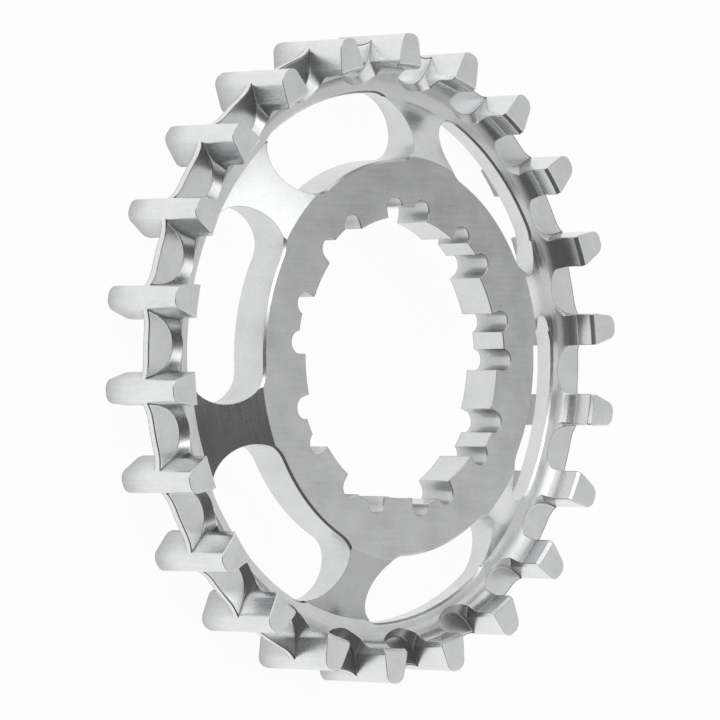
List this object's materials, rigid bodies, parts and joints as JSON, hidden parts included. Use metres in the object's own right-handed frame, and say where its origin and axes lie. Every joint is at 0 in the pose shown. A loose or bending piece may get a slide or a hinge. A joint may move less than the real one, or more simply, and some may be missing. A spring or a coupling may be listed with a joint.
{
  "type": "belt drive sprocket",
  "caption": "Toothed belt sprocket with a guide fin between the teeth, an arched-window web on six arms and a splined bore.",
  "frame": {"origin": "on the sprocket's axis, in the plane of the teeth's back ends on which the part lies", "axes": "+Z along the axis towards the front face; +X through one arm and one tooth that stand in line"},
  "size_m": [0.0754, 0.0748, 0.0108],
  "materials": {
    "steel": "machined and finely brushed"
  },
  "bodies": {
    "root": {"belt_sprocket": "steel"}
  },
  "joints": []
}
